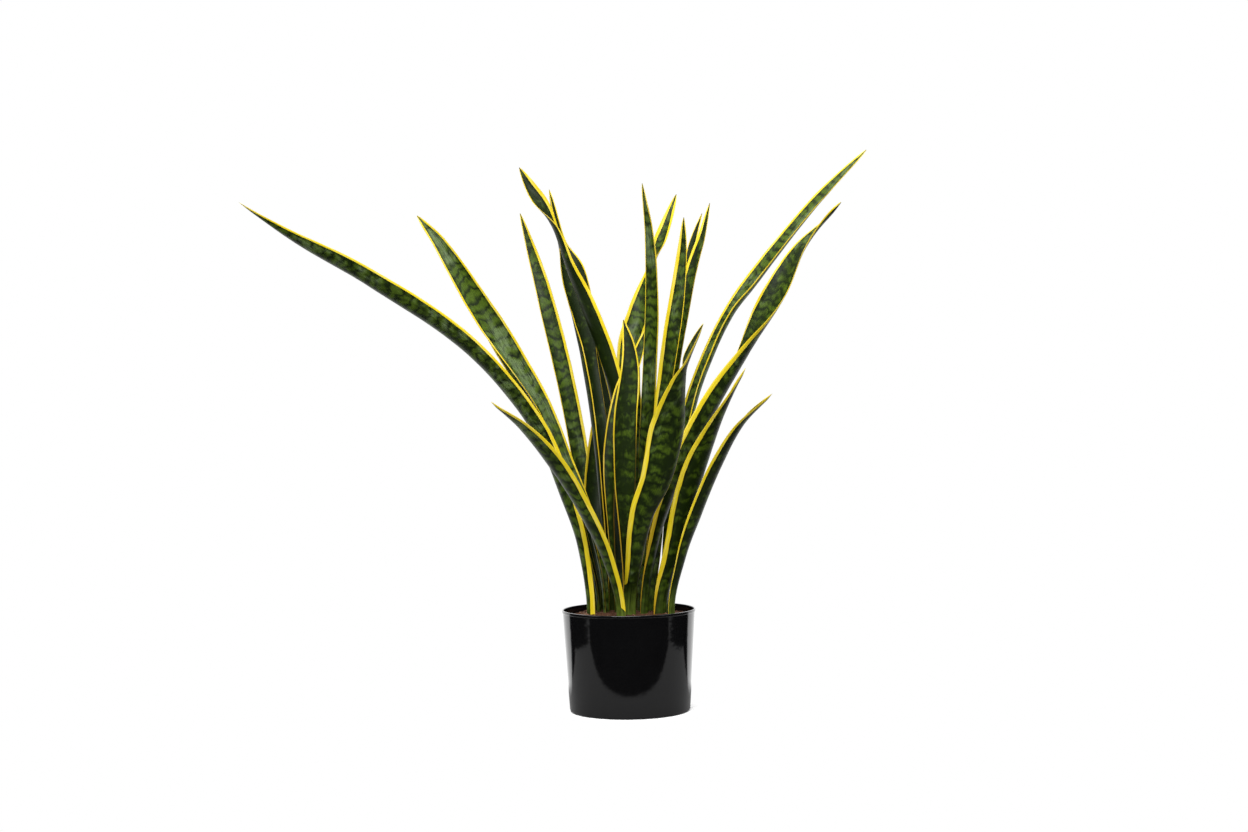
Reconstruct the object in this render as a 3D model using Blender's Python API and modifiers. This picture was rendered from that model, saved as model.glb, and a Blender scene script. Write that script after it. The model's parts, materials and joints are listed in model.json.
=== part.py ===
"""Potted snake plant: a thin-walled round pot, a plug of potting soil and twenty-one leaves.

Every leaf is a separate solid that stands in its own socket in the soil.
Units are metres. +Z is up, the pot rests on Z = 0 and the plant's front faces -Y.
"""
import math

import bpy
from mathutils import Vector

# ---- Pot ----
POT_HEIGHT = 0.128
POT_RIM_DIA = 0.170
POT_RIM_STEP = 0.0010       # how far the rim band stands out from the wall
POT_RIM_BAND = 0.0040       # height of the rim band
POT_TAPER = 0.0086          # how far the wall draws in, from the rim to the bottom corner
POT_CORNER_HEIGHT = 0.0045  # the rounded bottom corner
POT_CORNER_INSET = 0.0023
CORNER_STEPS = 4
POT_WALL = 0.0016
POT_FLOOR = 0.0020
DRAIN_HOLE_COUNT = 6
DRAIN_HOLE_DIA = 0.009
DRAIN_CIRCLE_DIA = 0.096
DRAIN_HOLE_SEGMENTS = 20
ROUND_SEGMENTS = 64

# ---- Soil ----
SOIL_DROP = 0.007           # the soil's top lies this far below the rim
SOIL_GAP = 0.0005           # play between the soil and the pot
SOCKET_GAP = 0.0005         # play between a leaf's foot and its socket

# ---- Leaves ----
PLANT_HEIGHT = 0.601        # highest leaf tip above the soil
PLANT_REACH = 0.474         # furthest leaf tip sideways from the pot's axis
LEAF_WIDTH = 0.056          # flat width of the broadest leaf
LEAF_THICKNESS = 0.0026
LEAF_FOOT_DEPTH = 0.024
LEAF_COLLAR = 0.003         # straight stretch of a leaf's foot above the soil
LEAF_TIP_WIDTH = 0.0024
MARGIN_THICKNESS = 0.6      # thickness at a leaf's margins, as a share of the middle's
TIP_THICKNESS = 0.55        # thickness at a leaf's tip, as a share of the foot's
TIP_BLUNTNESS = 0.65        # power on the sine that draws the tip: lower is blunter
FOOT_CHANNEL = 1.25         # how much tighter a leaf is rolled at its foot
TIP_CHANNEL = 0.65          # how much flatter it is at its tip
ROWS_ALONG = 15
CELLS_ACROSS = 4

# Sizes that the stations below were taken at, in millimetres.
STATION_HEIGHT = 601.0
STATION_REACH = 474.0
STATION_RIM = 170.0
STATION_WIDTH = 56.0

# One row per leaf: name, share of LEAF_WIDTH, channel half-angle (degrees), width share at
# the foot, share of the length by which it is at full width, share of the length that
# tapers to the tip, and the stations along its middle.
# A station is (x, y, height above the soil, turn): millimetres, and the direction that the
# hollow face looks in, in degrees from the front (-Y) towards +X.
LEAVES = [
    ("leaf_01", 0.89, 62, 0.54, 0.34, 0.37, [
        (-48, 6, 0, 100), (-58, 6, 88, 105), (-74, 3, 142, 110), (-112, -6, 238, 112),
        (-195, -30, 341, 113), (-313, -60, 424, 113), (-407, -81, 478, 110),
        (-466, -96, 518, 100)]),
    ("leaf_02", 0.66, 50, 0.42, 0.42, 0.38, [
        (-29, 14, 0, 70), (-44, 11, 107, 70), (-79, 8, 197, 65), (-105, 5, 263, 60),
        (-139, 4, 322, 45), (-182, -1, 391, 15), (-232, -7, 474, 0), (-260, -7, 509, 0)]),
    ("leaf_03", 0.88, 62, 0.54, 0.42, 0.38, [
        (-10, -28, 0, 105), (-25, -40, 72, 108), (-51, -61, 132, 112), (-85, -88, 191, 120),
        (-124, -115, 240, 118), (-160, -136, 270, 110)]),
    ("leaf_04", 0.43, 50, 0.50, 0.42, 0.38, [
        (-38, 28, 0, 80), (-59, 43, 110, 72), (-82, 52, 190, 66), (-118, 52, 264, 60),
        (-156, 52, 324, 60), (-182, 52, 366, 50)]),
    ("leaf_05", 0.47, 40, 0.55, 0.42, 0.38, [
        (-33, 51, 0, 20), (-50, 104, 116, 15), (-65, 124, 220, 10), (-84, 136, 320, 5),
        (-111, 154, 433, -5), (-126, 164, 486, -10), (-140, 172, 532, -10)]),
    ("leaf_06", 0.82, 58, 0.45, 0.42, 0.38, [
        (0, 35, 0, 100), (0, 52, 169, 105), (-12, 78, 278, 112), (-26, 83, 334, 115),
        (-40, 84, 374, 112), (-56, 88, 415, 108), (-70, 90, 449, 98), (-86, 94, 496, 90),
        (-97, 96, 518, 70), (-119, 100, 554, 10), (-136, 100, 584, 0)]),
    ("leaf_07", 0.79, 72, 0.45, 0.42, 0.34, [
        (-24, 35, 0, 60), (-28, 41, 129, 62), (-35, 54, 229, 62), (-47, 84, 315, 60),
        (-56, 112, 370, 42), (-66, 138, 437, 10), (-85, 156, 495, 70), (-100, 178, 565, 60)]),
    ("leaf_08", 0.56, 45, 0.55, 0.42, 0.38, [
        (-43, 41, 0, 30), (-46, 76, 119, 20), (-42, 94, 169, 10), (-37, 118, 225, 0),
        (-33, 126, 280, -10)]),
    ("leaf_09", 0.43, 45, 0.55, 0.42, 0.38, [
        (-11, 53, 0, 0), (-20, 100, 139, 0), (-28, 138, 256, 0), (-42, 150, 328, 10),
        (-55, 156, 376, 15), (-64, 160, 425, 10)]),
    ("leaf_10", 0.45, 45, 0.36, 0.60, 0.38, [
        (-15, 14, 0, -60), (-20, 11, 109, -55), (-19, 22, 202, -30), (-4, 40, 281, -20),
        (16, 77, 330, -10), (31, 101, 372, 0)]),
    ("leaf_11", 0.59, 50, 0.36, 0.60, 0.38, [
        (-1, 8, 0, 0), (-1, -10, 114, 0), (-2, -16, 176, 0), (0, -22, 251, 0),
        (6, -22, 301, -5), (6, -19, 335, -10), (-1, -13, 373, -10)]),
    ("leaf_12", 0.54, 50, 0.50, 0.42, 0.38, [
        (17, 31, 0, -30), (20, 50, 89, -40), (28, 54, 211, -45), (35, 50, 328, -50),
        (38, 42, 403, -50), (35, 32, 485, -50), (26, 24, 550, -50)]),
    ("leaf_13", 0.61, 45, 0.45, 0.42, 0.38, [
        (7, 57, 0, 0), (8, 98, 207, 0), (6, 118, 341, -10), (21, 130, 393, -20),
        (39, 142, 456, -70), (52, 152, 493, -30), (74, 166, 554, -10)]),
    ("leaf_14", 0.50, 50, 0.45, 0.42, 0.38, [
        (30, 21, 0, -20), (37, 34, 90, -20), (40, 36, 140, -20), (44, 20, 220, -35),
        (52, 7, 293, -40), (61, -4, 355, -30), (69, -10, 407, -25), (75, -14, 461, -20),
        (77, -20, 500, -20)]),
    ("leaf_15", 0.57, 55, 0.50, 0.42, 0.38, [
        (32, 42, 0, -40), (38, 62, 130, -40), (49, 62, 233, -40), (65, 64, 326, -45),
        (76, 69, 383, -45), (92, 78, 447, -48), (105, 84, 489, -48), (116, 93, 532, -50)]),
    ("leaf_16", 0.39, 45, 0.50, 0.42, 0.38, [
        (24, 56, 0, -10), (34, 83, 140, -15), (50, 101, 272, -20), (72, 116, 379, -20),
        (87, 130, 447, -30), (94, 140, 484, -30), (108, 155, 526, -30)]),
    ("leaf_17", 1.00, 60, 0.38, 0.62, 0.42, [
        (2, -9, 0, -160), (8, -34, 65, -155), (20, -62, 128, -154), (39, -86, 176, -157),
        (52, -106, 234, -155), (65, -128, 290, -120), (72, -136, 314, -95),
        (93, -160, 358, -90)]),
    ("leaf_18", 0.80, 62, 0.70, 0.42, 0.38, [
        (42, 2, 0, -128), (61, -9, 87, -133), (84, -23, 173, -142), (109, -36, 233, -118),
        (132, -48, 279, -100), (149, -58, 308, -100)]),
    ("leaf_19", 0.71, 62, 0.46, 0.42, 0.38, [
        (54, -11, 0, -105), (68, -23, 75, -108), (87, -37, 130, -114), (112, -58, 190, -114),
        (140, -82, 239, -112), (177, -109, 275, -110)]),
    ("leaf_20", 0.93, 62, 0.50, 0.34, 0.38, [
        (20, 5, 0, -100), (31, 5, 80, -100), (50, 4, 144, -105), (81, 6, 212, -115),
        (112, 6, 268, -112), (152, 10, 332, -88), (197, 12, 408, -50), (229, 16, 465, -70),
        (280, 18, 521, -110)]),
    ("leaf_21", 0.71, 60, 0.50, 0.42, 0.38, [
        (48, 24, 0, -60), (60, 53, 150, -65), (88, 75, 270, -70), (110, 87, 328, -72),
        (139, 99, 385, -73), (166, 108, 421, -66), (229, 123, 499, -65), (269, 132, 545, -62),
        (331, 141, 607, -60)]),
]

# ---- Sizes that follow from those above ----
SOIL_TOP = POT_HEIGHT - SOIL_DROP
RIM_RADIUS = POT_RIM_DIA / 2
WALL_TOP_RADIUS = RIM_RADIUS - POT_RIM_STEP
WALL_LOW_RADIUS = RIM_RADIUS - POT_TAPER


def clear_scene():
    """Remove whatever the scene starts with."""
    for item in list(bpy.data.objects):
        bpy.data.objects.remove(item, do_unlink=True)


def new_collection(name):
    """Make a collection in the scene and return it."""
    group = bpy.data.collections.new(name)
    bpy.context.scene.collection.children.link(group)
    return group


def new_material(name, colour, roughness):
    """Return a Principled material of one colour."""
    material = bpy.data.materials.new(name)
    material.use_nodes = True
    shader = material.node_tree.nodes["Principled BSDF"]
    shader.inputs["Base Color"].default_value = (*colour, 1.0)
    shader.inputs["Roughness"].default_value = roughness
    material.diffuse_color = (*colour, 1.0)
    return material


def new_object(name, vertices, edges, faces, group, material=None):
    """Make a mesh object from its parts and put it in a collection."""
    mesh = bpy.data.meshes.new(name)
    mesh.from_pydata(vertices, edges, faces)
    mesh.update()
    item = bpy.data.objects.new(name, mesh)
    group.objects.link(item)
    if material is not None:
        mesh.materials.append(material)
    return item


def turned_solid(name, profile, group, material):
    """Turn a profile of (radius, height) points about Z; it runs down the outer side."""
    points = [(radius, 0.0, height) for radius, height in profile]
    edges = [(i, i + 1) for i in range(len(points) - 1)]
    item = new_object(name, points, edges, [], group, material)
    screw = item.modifiers.new("Turn", "SCREW")
    screw.axis = "Z"
    screw.angle = math.tau
    screw.steps = ROUND_SEGMENTS
    screw.render_steps = ROUND_SEGMENTS
    screw.use_merge_vertices = True
    screw.merge_threshold = 0.00001
    screw.use_smooth_shade = False
    return item


def cut(item, cutter):
    """Take a cutter away from an object."""
    boolean = item.modifiers.new("Cut " + cutter.name, "BOOLEAN")
    boolean.operation = "DIFFERENCE"
    boolean.solver = "EXACT"
    boolean.object = cutter
    cutter.hide_render = True
    cutter.display_type = "WIRE"


def wall_radius(height):
    """Outer radius of the pot's plain wall at a height."""
    low = POT_CORNER_HEIGHT
    high = POT_HEIGHT - POT_RIM_BAND
    share = (height - low) / (high - low)
    return WALL_LOW_RADIUS + share * (WALL_TOP_RADIUS - WALL_LOW_RADIUS)


def make_pot(group, cutters):
    """The pot: tapered thin wall, narrow rim band, flat floor with drain holes."""
    band_low = POT_HEIGHT - POT_RIM_BAND
    edge = POT_WALL / 4
    profile = [(0.0, POT_FLOOR),
               (wall_radius(POT_FLOOR) - POT_WALL, POT_FLOOR),
               (WALL_TOP_RADIUS - POT_WALL, POT_HEIGHT - edge),
               (WALL_TOP_RADIUS - POT_WALL + edge, POT_HEIGHT),
               (RIM_RADIUS - edge, POT_HEIGHT),
               (RIM_RADIUS, POT_HEIGHT - edge),
               (RIM_RADIUS, band_low + POT_RIM_STEP),
               (wall_radius(band_low), band_low),
               (WALL_LOW_RADIUS, POT_CORNER_HEIGHT)]
    for step in range(1, CORNER_STEPS + 1):
        angle = math.pi / 2 * step / CORNER_STEPS
        profile.append((WALL_LOW_RADIUS - POT_CORNER_INSET * (1 - math.cos(angle)),
                        POT_CORNER_HEIGHT * (1 - math.sin(angle))))
    profile.append((0.0, 0.0))
    pot = turned_solid("pot", profile, group,
                       new_material("pot_plastic", (0.012, 0.012, 0.013), 0.18))
    for i in range(DRAIN_HOLE_COUNT):
        angle = math.tau * (i + 0.5) / DRAIN_HOLE_COUNT
        spot = (DRAIN_CIRCLE_DIA / 2 * math.cos(angle), DRAIN_CIRCLE_DIA / 2 * math.sin(angle),
                POT_FLOOR / 2)
        bpy.ops.mesh.primitive_cylinder_add(vertices=DRAIN_HOLE_SEGMENTS,
                                            radius=DRAIN_HOLE_DIA / 2,
                                            depth=POT_FLOOR * 3, location=spot)
        hole = bpy.context.active_object
        hole.name = "drain_hole_%d" % (i + 1)
        for owner in list(hole.users_collection):
            owner.objects.unlink(hole)
        cutters.objects.link(hole)
        cut(pot, hole)
    return pot


def make_soil(group):
    """The soil plug: it fills the pot to just below the rim."""
    low = POT_FLOOR + SOIL_GAP
    inset = POT_WALL + SOIL_GAP
    profile = [(0.0, SOIL_TOP),
               (wall_radius(SOIL_TOP) - inset, SOIL_TOP),
               (wall_radius(low) - inset, low),
               (0.0, low)]
    return turned_solid("potting_soil", profile, group,
                        new_material("soil", (0.10, 0.055, 0.03), 0.95))


def ease(share):
    """Smooth step from 0 to 1."""
    share = min(max(share, 0.0), 1.0)
    return share * share * (3 - 2 * share)


def leaf_stations(stations):
    """Scale a leaf's stations to the driving sizes: (point, turn in radians) pairs.

    Wider leaves also stand further apart from front to back, so that they still pass.
    """
    foot_scale = POT_RIM_DIA / STATION_RIM
    reach_scale = PLANT_REACH / STATION_REACH
    width_scale = LEAF_WIDTH / (STATION_WIDTH / 1000)
    depth_scale = reach_scale * width_scale
    height_scale = PLANT_HEIGHT / STATION_HEIGHT
    x0, y0 = stations[0][:2]
    scaled = []
    for x, y, height, turn in stations:
        point = Vector((x0 * foot_scale + (x - x0) * reach_scale,
                        y0 * foot_scale * width_scale + (y - y0) * depth_scale,
                        SOIL_TOP + max(height * height_scale, LEAF_COLLAR)))
        scaled.append((point, math.radians(turn)))
    return scaled


def spine(stations, count):
    """Points spaced evenly along a smooth curve through the stations, with their turns."""
    lengths = [0.0]
    for (a, _), (b, _) in zip(stations, stations[1:]):
        lengths.append(lengths[-1] + (b - a).length)
    values = [(*point, turn) for point, turn in stations]
    slopes = []
    last = len(values) - 1
    for i in range(len(values)):
        a, b = max(i - 1, 0), min(i + 1, last)
        span = lengths[b] - lengths[a]
        slopes.append([(values[b][k] - values[a][k]) / span for k in range(4)])
    slopes[0][:3] = (0.0, 0.0, 1.0)
    curve = []
    for n in range(count):
        along = lengths[-1] * n / (count - 1)
        i = 0
        while i < last - 1 and lengths[i + 1] <= along:
            i += 1
        span = lengths[i + 1] - lengths[i]
        t = (along - lengths[i]) / span
        h = (2 * t**3 - 3 * t**2 + 1, (t**3 - 2 * t**2 + t) * span,
             -2 * t**3 + 3 * t**2, (t**3 - t**2) * span)
        row = [h[0] * values[i][k] + h[1] * slopes[i][k] + h[2] * values[i + 1][k]
               + h[3] * slopes[i + 1][k] for k in range(4)]
        curve.append((Vector(row[:3]), row[3]))
    return curve


def section(point, upward, turn, width, bend, grow=0.0):
    """Points across a leaf: an arc of half-angle bend, hollow towards the turn direction."""
    look = Vector((math.sin(turn), -math.cos(turn), 0.0))
    inward = (look - look.dot(upward) * upward).normalized()
    across = upward.cross(inward)
    radius = width / (2 * bend)
    reach = bend + grow / radius
    row = []
    for cell in range(CELLS_ACROSS + 1):
        angle = reach * (2 * cell / CELLS_ACROSS - 1)
        lift = radius * ((1 - math.cos(angle)) - (1 - math.cos(bend)) / 2)
        row.append(point + radius * math.sin(angle) * across + lift * inward)
    return row


def channel_at(channel, along):
    """Half-angle of a leaf's channel in radians, a share of the way along it."""
    bend = math.radians(channel) * (FOOT_CHANNEL - (FOOT_CHANNEL - 1) * ease(along / 0.3))
    return bend * (1 - (1 - TIP_CHANNEL) * ease((along - 0.55) / 0.45))


def leaf_rows(share, channel, foot_share, full_share, tip_share, stations):
    """Rows of points for one leaf, from the foot's bottom to the tip."""
    curve = spine(leaf_stations(stations), ROWS_ALONG)
    rows = []
    for n, (point, turn) in enumerate(curve):
        ahead = curve[min(n + 1, ROWS_ALONG - 1)][0]
        behind = curve[max(n - 1, 0)][0]
        upward = (ahead - behind).normalized() if n else Vector((0, 0, 1))
        along = n / (ROWS_ALONG - 1)
        width = foot_share + (1 - foot_share) * ease(along / full_share)
        width *= math.sin(math.pi / 2 * min((1 - along) / tip_share, 1.0)) ** TIP_BLUNTNESS
        width = max(LEAF_WIDTH * share * width, LEAF_TIP_WIDTH)
        bend = channel_at(channel, along)
        if n == 0:
            foot = Vector((point.x, point.y, SOIL_TOP - LEAF_FOOT_DEPTH))
            rows.append(section(foot, upward, turn, width, bend))
        rows.append(section(point, upward, turn, width, bend))
    return rows


def skin(name, rows, thickness, group, material=None, thin_edges=False):
    """Join rows of points into an open sheet and thicken it equally both ways."""
    across = len(rows[0])
    points = [tuple(point) for row in rows for point in row]
    faces = []
    for r in range(len(rows) - 1):
        for c in range(across - 1):
            a = r * across + c
            faces.append((a, a + across, a + across + 1, a + 1))
    item = new_object(name, points, [], faces, group, material)
    solidify = item.modifiers.new("Thicken", "SOLIDIFY")
    solidify.thickness = thickness
    solidify.offset = 0.0
    if thin_edges:
        weights = item.vertex_groups.new(name="thickness")
        for r in range(len(rows)):
            towards_tip = ease((r / (len(rows) - 1) - 0.6) / 0.4)
            for c in range(across):
                edge = (2 * c / (across - 1) - 1) ** 2 if r > 1 else 0.0
                weight = 1 - (1 - MARGIN_THICKNESS) * edge
                weight *= 1 - (1 - TIP_THICKNESS) * towards_tip
                weights.add([r * across + c], weight, "REPLACE")
        solidify.vertex_group = "thickness"
    return item


def make_leaf(row, soil, group, cutters):
    """One leaf and the socket that its foot stands in."""
    name, share, channel, foot_share, full_share, tip_share, stations = row
    tone = new_material("green_" + name, (0.06, 0.12, 0.035), 0.4)
    rows = leaf_rows(share, channel, foot_share, full_share, tip_share, stations)
    skin(name, rows, LEAF_THICKNESS, group, tone, thin_edges=True)

    foot = leaf_stations(stations)[0]
    width = LEAF_WIDTH * share * foot_share
    bend = channel_at(channel, 0.0)
    socket_rows = []
    for height in (SOIL_TOP - LEAF_FOOT_DEPTH - SOCKET_GAP, SOIL_TOP + LEAF_COLLAR):
        point = Vector((foot[0].x, foot[0].y, height))
        socket_rows.append(section(point, Vector((0, 0, 1)), foot[1], width, bend, SOCKET_GAP))
    socket = skin("socket_" + name, socket_rows, LEAF_THICKNESS + 2 * SOCKET_GAP, cutters)
    cut(soil, socket)


clear_scene()
plant = new_collection("potted_snake_plant")
cutters = new_collection("cutters")
make_pot(plant, cutters)
soil = make_soil(plant)
for leaf in LEAVES:
    make_leaf(leaf, soil, plant, cutters)
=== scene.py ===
# %% [markdown]
# # A potted snake plant
#
# The plant is twenty-one sword-shaped leaves that rise from one clump in a thin black
# nursery pot. The design file has already settled where every leaf stands, how it arches
# and how wide it is, so this lesson only gives those shapes their real surface: blades with
# rounded yellow margins and cross-banded green, glossy moulded plastic, and loose soil.

# %% Load the design as a fixed frame
import json
import math

import bpy
import numpy as np
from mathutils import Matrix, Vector

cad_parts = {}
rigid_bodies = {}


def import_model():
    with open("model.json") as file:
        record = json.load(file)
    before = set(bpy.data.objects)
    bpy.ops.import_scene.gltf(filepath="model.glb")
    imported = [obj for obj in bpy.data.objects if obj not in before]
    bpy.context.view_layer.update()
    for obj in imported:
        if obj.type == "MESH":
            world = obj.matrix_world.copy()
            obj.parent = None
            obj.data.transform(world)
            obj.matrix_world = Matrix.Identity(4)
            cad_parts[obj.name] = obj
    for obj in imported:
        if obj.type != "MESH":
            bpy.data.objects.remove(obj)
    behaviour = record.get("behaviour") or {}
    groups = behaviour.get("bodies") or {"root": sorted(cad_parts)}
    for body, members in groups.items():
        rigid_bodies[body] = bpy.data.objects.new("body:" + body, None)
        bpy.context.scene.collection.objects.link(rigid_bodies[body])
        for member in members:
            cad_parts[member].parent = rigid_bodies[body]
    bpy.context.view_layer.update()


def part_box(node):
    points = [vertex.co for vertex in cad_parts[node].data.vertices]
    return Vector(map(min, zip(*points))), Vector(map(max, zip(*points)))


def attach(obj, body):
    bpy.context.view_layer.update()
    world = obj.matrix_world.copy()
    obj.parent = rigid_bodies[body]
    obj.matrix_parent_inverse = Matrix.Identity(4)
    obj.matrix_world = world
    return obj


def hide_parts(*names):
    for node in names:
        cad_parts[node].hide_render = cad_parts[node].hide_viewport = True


for item in list(bpy.data.objects):
    bpy.data.objects.remove(item, do_unlink=True)
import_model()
POT_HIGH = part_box("pot")[1]
SOIL_LOW, SOIL_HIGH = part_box("potting_soil")
SOIL_TOP = SOIL_HIGH.z
RIM_HEIGHT = POT_HIGH.z
RIM_RADIUS = POT_HIGH.x
print("soil top %.4f, rim %.4f high and %.4f in radius" % (SOIL_TOP, RIM_HEIGHT, RIM_RADIUS))

# %% [markdown]
# ## Node trees written as sums
#
# Shader and geometry trees are both long chains of small steps, and a chain of boxes is hard
# to read as code. A `Wire` stands for one socket. Adding, multiplying or comparing wires adds
# the Math or Vector Math node for it, so a formula in a tree reads like a formula on paper.

# %% One socket that can be used in sums


class Wire:
    """One output socket in a node tree, with Python's operators turned into nodes."""

    def __init__(self, tree, socket):
        self.tree = tree
        self.socket = socket

    def is_vector(self):
        return self.socket.type == "VECTOR"

    def math(self, operation, *terms):
        """A Math node on numbers."""
        return add_node(self.tree, "ShaderNodeMath", {"operation": operation},
                        dict(enumerate(terms)))

    def vector_math(self, operation, *terms):
        """A Vector Math node; SCALE takes its number in the fourth socket."""
        sockets = dict(enumerate(terms))
        if operation == "SCALE":
            sockets = {0: terms[0], 3: terms[1]}
        return add_node(self.tree, "ShaderNodeVectorMath", {"operation": operation}, sockets)

    def pair(self, operation, a, b):
        """One operator on two terms, by numbers or by vectors."""
        vectors = [is_vector(a), is_vector(b)]
        if operation == "MULTIPLY" and vectors == [True, False]:
            return self.vector_math("SCALE", a, b)
        if operation == "MULTIPLY" and vectors == [False, True]:
            return self.vector_math("SCALE", b, a)
        if any(vectors):
            return self.vector_math(operation, a, b)
        return self.math(operation, a, b)

    def __add__(self, other):
        return self.pair("ADD", self, other)

    def __radd__(self, other):
        return self.pair("ADD", other, self)

    def __sub__(self, other):
        return self.pair("SUBTRACT", self, other)

    def __rsub__(self, other):
        return self.pair("SUBTRACT", other, self)

    def __mul__(self, other):
        return self.pair("MULTIPLY", self, other)

    def __rmul__(self, other):
        return self.pair("MULTIPLY", other, self)

    def __truediv__(self, other):
        return self.math("DIVIDE", self, other)

    def __pow__(self, other):
        return self.math("POWER", self, other)

    def __neg__(self):
        return self.pair("MULTIPLY", self, -1.0)

    def __abs__(self):
        return self.math("ABSOLUTE", self)

    def over(self, limit):
        """1 where this is over the limit and 0 under it."""
        return self.math("GREATER_THAN", self, limit)

    def least(self, other):
        return self.math("MINIMUM", self, other)

    def most(self, other):
        return self.math("MAXIMUM", self, other)


def is_vector(term):
    """True for a vector wire or a plain triple."""
    return term.is_vector() if isinstance(term, Wire) else isinstance(term, (tuple, Vector))


def add_node(tree, kind, settings, sockets, result=0):
    """Add any node: its settings, then its sockets' values or links. Returns one output."""
    made = tree.nodes.new(kind)
    for key, value in settings.items():
        setattr(made, key, value)
    for key, value in sockets.items():
        if isinstance(value, Wire):
            tree.links.new(value.socket, made.inputs[key])
        else:
            made.inputs[key].default_value = value
    return Wire(tree, made.outputs[result])


def ramp(value, low, high, to_low=0.0, to_high=1.0):
    """Map Range: eases a value from one range to another."""
    return add_node(value.tree, "ShaderNodeMapRange", {"interpolation_type": "SMOOTHSTEP"},
                    {0: value, 1: low, 2: high, 3: to_low, 4: to_high})


def blend(factor, a, b):
    """Mix two colours."""
    a, b = [(*c, 1.0) if isinstance(c, tuple) and len(c) == 3 else c for c in (a, b)]
    return add_node(factor.tree, "ShaderNodeMix", {"data_type": "RGBA"},
                    {0: factor, 6: a, 7: b}, 2)


def triple(tree, x, y, z):
    """Combine three numbers into a vector."""
    return add_node(tree, "ShaderNodeCombineXYZ", {}, {0: x, 1: y, 2: z})


def parts(vector):
    """The three numbers of a vector wire."""
    node = vector.tree.nodes.new("ShaderNodeSeparateXYZ")
    vector.tree.links.new(vector.socket, node.inputs[0])
    return [Wire(vector.tree, socket) for socket in node.outputs]


def noise(place, scale, detail=2.0, roughness=0.5):
    """Noise between 0 and 1, centred on 0.5."""
    return add_node(place.tree, "ShaderNodeTexNoise", {},
                    {"Vector": place, "Scale": scale, "Detail": detail,
                     "Roughness": roughness})


print("node helpers ready")

# %% [markdown]
# ## Where each leaf stands
#
# A leaf is settled by a few stations along its middle: a point, and the direction that its
# hollow face looks in. These are the design's own numbers, in millimetres from the middle of
# the pot's foot, with heights above the soil. The other columns say how wide the leaf is, how
# tightly it is channelled and how it narrows towards its foot and tip.

# %% The leaf table
LEAF_WIDTH = 0.056
LEAF_THICKNESS = 0.0026
LEAF_FOOT_DEPTH = 0.024
LEAF_COLLAR = 0.003
MILLIMETRE = 0.001

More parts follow.
